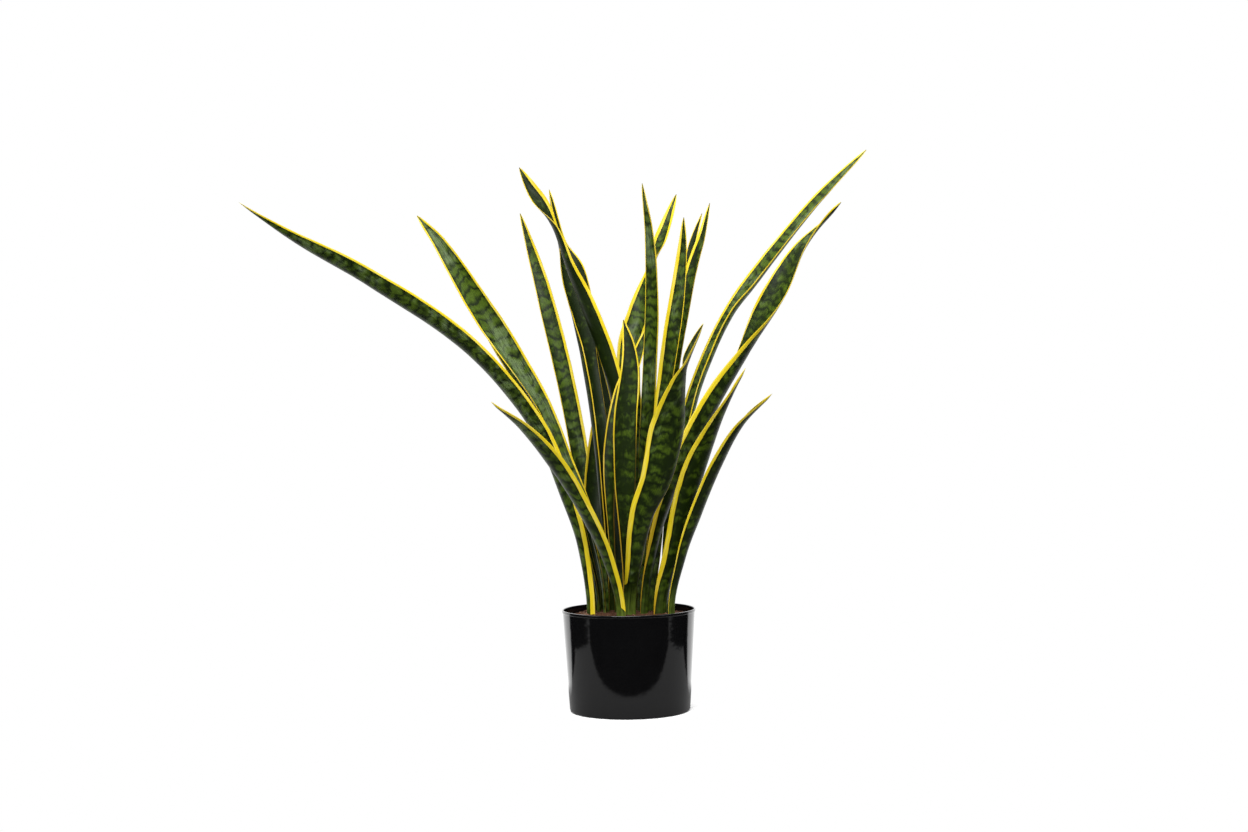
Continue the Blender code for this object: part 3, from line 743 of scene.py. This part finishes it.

# %% [markdown]
# ## Growing all the leaves
#
# One loop hands every row of the table to the blade tree. Leaves of one plant are not equally
# green: some are pale and carry a painted silvery sheen, the ones at the back of the clump are
# darkened by painted shade until nearly black, and the young ones have a bright green foot.
# Two small tables hold this, and a leaf that is in neither is an ordinary one.

# %% Grow the leaves
# Above zero a leaf is paler and gets painted sheen; below zero it is darkened by painted shade, as
# at the back of the clump.
TONE_SHEEN_AND_SHADE = {"leaf_01": 0.5, "leaf_02": 1.3, "leaf_03": 0.5, "leaf_05": 0.5,
             "leaf_12": 0.8, "leaf_13": 0.8, "leaf_14": 0.5, "leaf_15": 0.2,
             "leaf_17": 0.1, "leaf_20": 0.2, "leaf_21": 1.2,
             "leaf_06": -0.6, "leaf_07": -0.6, "leaf_08": -0.7, "leaf_09": -0.7,
             "leaf_10": -0.1, "leaf_11": -0.15, "leaf_16": -0.5}
GREEN_FEET = {"leaf_03": 0.9, "leaf_11": 0.9, "leaf_17": 1.0, "leaf_19": 0.8}
GREEN_FOOT = 0.3
RIPPLE = 0.0022

for number, (name, size, channel, foot, full, taper, stations) in enumerate(LEAVES):
    start = spine_object("spine_" + name, stations, MARGINS[name])
    leaf = grow(start, BLADE, {
        "Width": LEAF_WIDTH * size, "Channel": math.radians(channel), "Foot share": foot,
        "Full share": full, "Taper share": taper, "Thickness": LEAF_THICKNESS,
        "Ripple": RIPPLE, "Seed": float(number) * 3.7,
        "Skin": leaf_skin("skin_" + name, float(number) * 2.3,
                          TONE_SHEEN_AND_SHADE.get(name, 0.0), GREEN_FEET.get(name, GREEN_FOOT))},
                name + "_blade")
    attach(leaf, "root")
    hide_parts(name)
    print(leaf.name, len(leaf.data.polygons), "faces")

# %% [markdown]
# ## The pot
#
# A nursery pot is injection-moulded in one shot: a thin tapered wall, a narrow band at the
# rim, a rounded corner at the foot and a flat floor with drain holes. It is a turned shape,
# so a profile is spun about the axis, finely enough that the gloss shows no facets. The drain
# holes are cut with the same count and circle as the design's.

# %% Turn the pot
POT_WALL = 0.0016
POT_FLOOR = 0.0020
RIM_STEP = 0.0007
RIM_BAND = 0.0034
POT_TAPER = 0.0086
CORNER_HEIGHT = 0.0045
CORNER_INSET = 0.0023
DRAIN_HOLES = 6
DRAIN_HOLE_DIA = 0.009
DRAIN_CIRCLE_DIA = 0.096
POT_STEPS = 192


def arc(centre, radii, start, end, steps):
    """Points of an elliptical arc in the (radius, height) plane; angles in degrees."""
    angles = [math.radians(start + (end - start) * n / steps) for n in range(steps + 1)]
    return [(centre[0] + radii[0] * math.cos(a), centre[1] + radii[1] * math.sin(a))
            for a in angles]


def turned(name, profile, steps):
    """Spin a profile that runs down the outer side about the Z axis."""
    mesh = bpy.data.meshes.new(name)
    mesh.from_pydata([(r, 0.0, z) for r, z in profile],
                     [(n, n + 1) for n in range(len(profile) - 1)], [])
    item = new_object(name, mesh)
    screw = item.modifiers.new("Turn", "SCREW")
    screw.steps = screw.render_steps = steps
    screw.use_merge_vertices = True
    screw.merge_threshold = 0.00001
    screw.use_smooth_shade = True
    return item


def pot_profile():
    """Half section of the pot, from the middle of the floor over the rim to the underside."""
    top_radius = RIM_RADIUS - RIM_STEP
    low_radius = RIM_RADIUS - POT_TAPER
    lip = POT_WALL / 2
    band_low = RIM_HEIGHT - RIM_BAND
    slope = (top_radius - low_radius) / (band_low - CORNER_HEIGHT)
    inner_foot = low_radius - POT_WALL
    points = [(0.0, POT_FLOOR), (0.02, POT_FLOOR), (0.05, POT_FLOOR)]
    points += arc((inner_foot - 0.002, POT_FLOOR + 0.002), (0.002, 0.002), -90, 0, 5)
    points += [(inner_foot + slope * 0.03, 0.034), (inner_foot + slope * 0.07, 0.074)]
    points += [(top_radius - POT_WALL, RIM_HEIGHT - 0.004)]
    points += arc((top_radius - POT_WALL + lip, RIM_HEIGHT - lip), (lip, lip), 180, 90, 5)
    points += arc((RIM_RADIUS - lip, RIM_HEIGHT - lip), (lip, lip), 90, 0, 5)
    points += [(RIM_RADIUS, band_low + 0.0012)]
    points += arc((RIM_RADIUS - 0.0004, band_low + 0.0006), (0.0004, 0.0004), 0, -90, 3)
    points += arc((top_radius + 0.0004, band_low - 0.0004), (0.0004, 0.0006), 90, 180, 3)
    points += [(top_radius - slope * n * 0.03, band_low - n * 0.03) for n in (1, 2, 3)]
    points += arc((low_radius - CORNER_INSET, CORNER_HEIGHT), (CORNER_INSET, CORNER_HEIGHT),
                  0, -90, 8)
    points += [(0.06, 0.0), (0.0, 0.0)]
    return points


def drain_cutter():
    """The drain holes as one object of short cylinders through the floor."""
    holes = []
    for n in range(DRAIN_HOLES):
        angle = math.tau * (n + 0.5) / DRAIN_HOLES
        place = (DRAIN_CIRCLE_DIA / 2 * math.cos(angle), DRAIN_CIRCLE_DIA / 2 * math.sin(angle),
                 POT_FLOOR / 2)
        bpy.ops.mesh.primitive_cylinder_add(vertices=40, radius=DRAIN_HOLE_DIA / 2,
                                            depth=POT_FLOOR * 5, location=place)
        holes.append(bpy.context.active_object)
    for hole in holes:
        hole.select_set(True)
    bpy.ops.object.join()
    return bpy.context.active_object


holes = drain_cutter()
shell = turned("pot_profile", pot_profile(), POT_STEPS)
cut = shell.modifiers.new("Drain", "BOOLEAN")
cut.operation = "DIFFERENCE"
cut.object = holes
pot = settled(shell, "nursery_pot")
bpy.data.objects.remove(holes)
pot.data.shade_smooth()
pot.data.set_sharp_from_angle(angle=math.radians(40))
print("pot:", len(pot.data.polygons), "faces")

# %% [markdown]
# ## Moulded black plastic
#
# Moulded polypropylene is glossy but not a mirror: it has a faint orange-peel, dust, a few
# scuffs and, inside, a film of soil. These only move the roughness and the normal a little,
# so the reflections stay crisp on the outside and turn dull where soil has rubbed.

# %% Pot plastic
PEEL_DEPTH = 0.00005


def object_place(tree):
    """Object coordinates, in metres."""
    return add_node(tree, "ShaderNodeTexCoord", {}, {}, 3)


def pot_plastic():
    """Glossy black plastic with dust and soil film."""
    material, tree, shader = new_skin("pot_plastic_gloss", {"IOR": 1.49})
    place = object_place(tree)
    x, y, z = parts(place)
    radius = (x * x + y * y) ** 0.5
    scuff = noise(place * (1.0, 1.0, 0.25), 90.0, 4.0, 0.6)
    dust = ramp(noise(place, 1400.0, 2.0, 0.6), 0.66, 0.74)
    inside = ramp(radius + (z - RIM_HEIGHT) * -0.07, RIM_RADIUS - 0.0035, RIM_RADIUS - 0.0042)
    inside = inside * ramp(z, POT_FLOOR * 0.4, POT_FLOOR * 0.6)
    base = blend(scuff, (0.0016, 0.0016, 0.0018), (0.0034, 0.0034, 0.0037))
    base = blend(dust * 0.04, base, (0.20, 0.18, 0.16))
    film = inside * ramp(z + (scuff - 0.5) * 0.008, RIM_HEIGHT - 0.001, RIM_HEIGHT - 0.007)
    base = blend(film * 0.5, base, (0.045, 0.028, 0.018))
    feed(shader, "Base Color", base)
    feed(shader, "Roughness", 0.045 + 0.05 * scuff + 0.15 * dust + 0.35 * film)
    peel = noise(place, 160.0, 1.0, 0.4)
    feed(shader, "Normal", bumped(peel, PEEL_DEPTH))
    return material


pot.data.materials.clear()
pot.data.materials.append(pot_plastic())
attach(pot, "root")
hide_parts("pot")
print("pot finished")

# %% [markdown]
# ## Potting soil
#
# From the side only a sliver of soil shows between the leaves and the rim, but from above it
# fills the pot. Peat is not a flat disc: it is heaped against the leaves, sunk at the wall and
# made of crumbs and short fibres. A turned plug gives the body, one geometry tree raises its
# top and scatters the crumbs, fibres and a few chips of bark over it. Scattering by tree
# keeps the count and size of each in one place.

# %% The soil's body
SOIL_RADIUS = SOIL_HIGH.x
SOIL_LOW_RADIUS = RIM_RADIUS - POT_TAPER - POT_WALL - 0.0006
SOIL_RINGS = 60
SOIL_STEPS = 144


def soil_profile():
    """Half section of the soil plug, from the middle of its top down its side."""
    top = [(SOIL_RADIUS * n / SOIL_RINGS, SOIL_TOP - 0.0015) for n in range(SOIL_RINGS)]
    side = [(SOIL_RADIUS - 0.0004, SOIL_TOP - 0.002), (SOIL_RADIUS - 0.0035, 0.06),
            (SOIL_LOW_RADIUS - 0.0008, SOIL_LOW.z + 0.003)]
    return top + side + [(SOIL_LOW_RADIUS - 0.002, SOIL_LOW.z), (0.0, SOIL_LOW.z)]


def leaf_feet(name):
    """A loose mesh with a point where each leaf leaves the soil."""
    mesh = bpy.data.meshes.new(name)
    mesh.from_pydata([(row[6][0][0] * MILLIMETRE, row[6][0][1] * MILLIMETRE, SOIL_TOP)
                      for row in LEAVES], [], [])
    return new_object(name, mesh)


print("soil radius %.4f" % SOIL_RADIUS)

# %% [markdown]
# Loose soil could be a bump map, but its edge against the rim and the leaves would stay
# straight. Here the tree lifts the top by noise and by how near the closest leaf is, and
# puts real grains on it: distributed points, each with an instance turned and scaled at
# random. The instances are made real at the end, so that the piece is one mesh.

# %% The soil tree
SOIL_INPUTS = (("Feet", "Object"), ("Crumbs", "Int"), ("Crumb size", "Float"),
               ("Fibres", "Int"), ("Chips", "Int"), ("Seed", "Int"), ("Skin", "Material"),
               ("Bark", "Material"))


def random_vector(tree, low, high, seed):
    """A random triple for each instance."""
    return add_node(tree, "FunctionNodeRandomValue", {"data_type": "FLOAT_VECTOR"},
                    {0: low, 1: high, 8: seed})


def scattered(ground, grain, count, size_low, size_high, seed, tilt):
    """Instances of one grain over the ground's top, turned and scaled at random."""
    tree = ground.tree
    normal = add_node(tree, "GeometryNodeInputNormal", {}, {})
    x, y, z = parts(position(tree))
    inside = ramp((x * x + y * y) ** 0.5, SOIL_RADIUS - 0.0045, SOIL_RADIUS - 0.0055)
    top = (parts(normal)[2] * inside * z.over(SOIL_TOP - 0.006)).over(0.5)
    density = count / (math.pi * SOIL_RADIUS ** 2)
    points = add_node(tree, "GeometryNodeDistributePointsOnFaces", {},
                      {"Mesh": ground, "Selection": top, "Density": density, "Seed": seed})
    turn = random_vector(tree, (-tilt, -tilt, 0.0), (tilt, tilt, math.tau), seed + 1)
    size = random_vector(tree, size_low, size_high, seed + 2)
    return add_node(tree, "GeometryNodeInstanceOnPoints", {},
                    {"Points": points, "Instance": grain, "Rotation": turn, "Scale": size})


def crumb_grain(tree, radius):
    """A lumpy grain of few faces."""
    ball = add_node(tree, "GeometryNodeMeshIcoSphere", {}, {"Radius": radius,
                                                            "Subdivisions": 1})
    place = position(tree)
    lump = noise(place, 900.0, 1.0)
    return moved(ball, Position=place * (0.55 + 0.9 * lump))


def chip_grain(tree, size):
    """A splinter or chip: a small block, narrowed by noise."""
    block = add_node(tree, "GeometryNodeMeshCube", {}, {"Size": size, "Vertices X": 5})
    waver = noise(position(tree), 500.0, 1.0) - 0.5
    return moved(block, Offset=triple(tree, 0.0, 0.0, waver * 0.002))


def joined(*wires):
    """Several geometries as one."""
    tree = wires[0].tree
    node = tree.nodes.new("GeometryNodeJoinGeometry")
    for wire in wires:
        tree.links.new(wire.socket, node.inputs[0])
    return Wire(tree, node.outputs[0])


def soil_tree():
    """Raise the soil's top and scatter crumbs, fibres and chips over it."""
    tree, inputs = new_tree("potting_soil", SOIL_INPUTS)
    ground = inputs["Start"]
    place = position(tree)
    x, y, z = parts(place)
    feet = add_node(tree, "GeometryNodeObjectInfo", {}, {"Object": inputs["Feet"]}, 4)
    near = add_node(tree, "GeometryNodeProximity", {"target_element": "POINTS"},
                    {0: feet}, 1)
    radius = (x * x + y * y) ** 0.5
    on_top = z.over(SOIL_TOP - 0.0018)
    heap = ramp(near, 0.026, 0.006) * 0.0022
    rough = (noise(place, 70.0, 4.0, 0.6) - 0.5) * 0.0055
    sink = ramp(radius, SOIL_RADIUS * 0.86, SOIL_RADIUS) * -0.0012
    inside = ramp(radius, SOIL_RADIUS, SOIL_RADIUS * 0.985)
    rise = (heap + rough * inside + sink) * on_top
    ground = moved(ground, Offset=triple(tree, 0.0, 0.0, rise))
    ground = painted(ground, inputs["Skin"])
    seed = inputs["Seed"]
    crumbs = scattered(ground, crumb_grain(tree, inputs["Crumb size"]), inputs["Crumbs"],
                       (0.35, 0.35, 0.3), (1.3, 1.1, 0.9), seed, 0.6)
    fibres = scattered(ground, chip_grain(tree, (0.0075, 0.0005, 0.0004)),
                       inputs["Fibres"], (0.4, 0.8, 0.8), (1.1, 1.4, 1.2), seed + 10, 0.35)
    chips = scattered(ground, chip_grain(tree, (0.0068, 0.0034, 0.0012)), inputs["Chips"],
                      (0.5, 0.6, 0.6), (1.1, 1.2, 1.1), seed + 20, 0.3)
    crumbs = painted(crumbs, inputs["Skin"])
    barks = painted(joined(fibres, chips), inputs["Bark"])
    close_tree(joined(ground, crumbs, barks))
    return tree


SOIL = soil_tree()
print("soil tree:", len(SOIL.nodes), "nodes")

# %% [markdown]
# The soil's colour is warm brown peat, darker where it is damp and in dark specks, with the
# odd pale grain. Bark and fibres are redder and lighter than the peat they lie on.

# %% Soil and bark skins


def soil_skin():
    """Peat: warm brown, blotched by damp."""
    material, tree, shader = new_skin("peat", {"Specular IOR Level": 0.25})
    place = object_place(tree)
    blotch = noise(place, 55.0, 3.0, 0.6)
    grain = noise(place, 900.0, 3.0, 0.6)
    colour = blend(blotch, (0.040, 0.014, 0.006), (0.085, 0.033, 0.014))
    colour = blend(ramp(grain, 0.55, 0.75), colour, (0.150, 0.068, 0.032))
    colour = blend(ramp(grain, 0.45, 0.25), colour, (0.012, 0.005, 0.003))
    feed(shader, "Base Color", colour)
    feed(shader, "Roughness", 0.82 + 0.15 * grain)
    feed(shader, "Normal", bumped(noise(place, 700.0, 4.0, 0.65), 0.0009))
    return material


def bark_skin():
    """Bark and fibres: red-brown with pale, split ends."""
    material, tree, shader = new_skin("bark", {"Specular IOR Level": 0.3})
    place = object_place(tree)
    piece = noise(place, 60.0, 1.0)
    grain = noise(place * (1.0, 3.0, 3.0), 420.0, 3.0)
    colour = blend(ramp(piece, 0.35, 0.65), (0.10, 0.042, 0.020), (0.36, 0.20, 0.12))
    colour = blend(grain * 0.6, colour, (0.05, 0.022, 0.012))
    feed(shader, "Base Color", colour)
    feed(shader, "Roughness", 0.7 + 0.2 * grain)
    feed(shader, "Normal", bumped(grain, 0.0006))
    return material


# %% [markdown]
# The plug is turned like the pot and then run through the tree. A loose mesh with one point
# for each leaf tells the tree where to heap the soil, and goes away afterwards.

# %% Grow the soil
feet = leaf_feet("leaf_feet")
plug = turned("soil_profile", soil_profile(), SOIL_STEPS)
body = settled(plug, "soil_plug")
soil = grow(body, SOIL, {"Feet": feet, "Crumbs": 2600, "Crumb size": 0.0011, "Fibres": 240,
                         "Chips": 34, "Seed": 5, "Skin": soil_skin(), "Bark": bark_skin()},
            "peat_soil")
bpy.data.objects.remove(feet)
soil.data.shade_smooth()
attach(soil, "root")
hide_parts("potting_soil")
print("soil:", len(soil.data.polygons), "faces")

# %% [markdown]
# ## A plain white studio
#
# The plant stands on a white floor, lit softly from above and in front with a weaker light at
# either side, before a lit white wall. Gloss needs something to mirror, so the floor paints
# reflections: to reflected rays it shows a painted grey table near the pot, a painted glowing
# sweep behind it and otherwise a painted dark room, none of which the camera sees. To the
# camera it is as white as the wall further off, so that no horizon shows.

# %% Floor
FLOOR_SIZE = 60.0
FLOOR_LEVEL = -0.0002
# Reflected rays see a painted grey table inside these bounds, a painted dark room outside and a
# painted glowing sweep behind.
REFLECTED_TABLE_FRONT = -0.176
REFLECTED_TABLE_BACK = 0.12
REFLECTED_TABLE_SIDE = 0.45
FLOOR_GREY = 0.27
REFLECTED_ROOM_DARK = 0.008
FLOOR_WHITE = 0.90
SHADOW_INSET = 0.008
SHADOW_REACH = 0.018
REFLECTED_SWEEP_GLOW = 1.7
REFLECTED_SWEEP_SIDES = (0.44, 0.54)
REFLECTED_SWEEP_START = (0.14, 0.26)


def floor_skin():
    """Matt floor near the pot and white further off to the camera; reflected rays see a painted
    grey table, a painted glowing sweep behind and a painted dark room.
    """
    material, tree, shader = new_skin("floor_white", {"Roughness": 0.9,
                                                      "Specular IOR Level": 0.0})
    x, y, _ = parts(object_place(tree))
    away = (x * x + y * y) ** 0.5
    # Painted reflection: a glowing sweep behind the pot that only reflected rays see.
    behind = ramp(y / away.most(0.001), *REFLECTED_SWEEP_SIDES) * ramp(away, *REFLECTED_SWEEP_START)
    # Painted reflection: the grey table that reflected rays see near the pot; outside it they see
    # a painted dark room.
    table = ramp(y, REFLECTED_TABLE_FRONT - 0.012, REFLECTED_TABLE_FRONT + 0.012)
    table = table * ramp(y, REFLECTED_TABLE_BACK + 0.02, REFLECTED_TABLE_BACK - 0.02)
    table = table * ramp(abs(x), REFLECTED_TABLE_SIDE + 0.015, REFLECTED_TABLE_SIDE - 0.015)
    rays = tree.nodes.new("ShaderNodeLightPath")
    seen = Wire(tree, rays.outputs["Is Camera Ray"])
    mirrored = Wire(tree, rays.outputs["Is Glossy Ray"])
    plain = 1.0 - mirrored * (1.0 - table)
    tint = blend(plain, (REFLECTED_ROOM_DARK,) * 3, (FLOOR_GREY,) * 3)
    tint = blend(seen, tint, (FLOOR_WHITE,) * 3)
    feed(shader, "Base Color", tint)
    shadow_edge = RIM_RADIUS - SHADOW_INSET
    white = seen * ramp(away, shadow_edge, shadow_edge + SHADOW_REACH)
    # White for the camera, and the painted glowing sweep for reflected rays.
    glowing = (white + mirrored * behind).least(1.0)
    strength = 1.0 + mirrored * (REFLECTED_SWEEP_GLOW - 1.0)
    glow = add_node(tree, "ShaderNodeEmission", {}, {"Color": (1.0, 1.0, 1.0, 1.0),
                                                     "Strength": strength})
    mixed = add_node(tree, "ShaderNodeMixShader", {},
                     {0: glowing, 1: Wire(tree, shader.outputs[0]), 2: glow})
    output = tree.nodes["Material Output"]
    tree.links.new(mixed.socket, output.inputs["Surface"])
    return material


def floor():
    """One big flat floor, at the height that the pot stands on."""
    bpy.ops.mesh.primitive_plane_add(size=FLOOR_SIZE, location=(0.0, 0.0, FLOOR_LEVEL))
    plane = bpy.context.active_object
    plane.name = "studio_floor"
    plane.data.materials.append(floor_skin())
    return plane


floor()
print("floor laid")

# %% [markdown]
# The surroundings are a world shader and not walls: white where the camera looks past the
# plant, bright behind it for the gloss, and dim everywhere else. The wall ends at either side
# and at its top over a soft range, given as parts of a direction of length one.

# %% Surroundings
WALL_GLOW = 1.5
WALL_SIDES = (0.60, 0.76)
WALL_TOP = (0.95, 0.55)
ROOM_GLOW = (0.05, 0.30)


def studio_world():
    """White to the camera; to the lighting, a bright wall behind and a dim room around."""
    world = bpy.data.worlds.new("studio")
    bpy.context.scene.world = world
    world.use_nodes = True
    tree = world.node_tree
    background = tree.nodes["Background"]
    x, y, z = parts(add_node(tree, "ShaderNodeTexCoord", {}, {}, 0))
    flat = (x * x + y * y) ** 0.5
    wall = ramp(y / flat.most(0.001), *WALL_SIDES) * ramp(z, *WALL_TOP)
    room = ramp(z, -0.1, 0.9, *ROOM_GLOW)
    glow = add_node(tree, "ShaderNodeCombineColor", {}, {0: room, 1: room, 2: room})
    light = blend(wall, glow, (WALL_GLOW,) * 3)
    seen = add_node(tree, "ShaderNodeLightPath", {}, {}, 0)
    light = blend(seen, light, (1.0, 1.0, 1.0))
    tree.links.new(light.socket, background.inputs["Color"])
    background.inputs["Strength"].default_value = 1.0
    return world


def softbox(name, place, aim, size, power):
    """A rectangular area light that looks at a point."""
    lamp = bpy.data.lights.new(name, "AREA")
    lamp.shape = "RECTANGLE"
    lamp.size, lamp.size_y = size
    lamp.energy = power
    item = new_object(name, lamp)
    item.location = place
    item.rotation_euler = (Vector(aim) - Vector(place)).to_track_quat("-Z", "Y").to_euler()


studio_world()
softbox("overhead_light", (0.0, -0.3, 2.3), (0.0, 0.0, 0.35), (2.2, 1.6), 40.0)
softbox("front_light", (-0.2, -2.1, 1.9), (0.0, 0.0, 0.35), (2.2, 1.2), 95.0)
softbox("left_fill", (-2.0, -0.9, 1.2), (0.0, 0.0, 0.4), (1.0, 1.2), 18.0)
softbox("right_fill", (2.0, -0.9, 1.2), (0.0, 0.0, 0.4), (1.0, 1.2), 14.0)
scene = bpy.context.scene
scene.view_settings.view_transform = "Standard"
scene.view_settings.look = "None"

# %% [markdown]
# ## The camera
#
# It looks along +Y from just above the middle of the plant with a normal lens, tipped up by a
# hair and rolled by just under a degree.

# %% Camera
CAMERA_PLACE = (-0.0021, -2.2, 0.361)
CAMERA_TILT = math.radians(0.30)
CAMERA_ROLL = math.radians(-0.9)
lens = bpy.data.cameras.new("camera")
lens.lens = 50.0
lens.sensor_width = 36.0
camera = new_object("camera", lens)
camera.location = CAMERA_PLACE
camera.rotation_euler = (math.pi / 2 + CAMERA_TILT, 0.0, 0.0)
bpy.context.view_layer.update()
camera.rotation_euler.rotate_axis("Z", CAMERA_ROLL)
scene.camera = camera
print("camera at", CAMERA_PLACE)
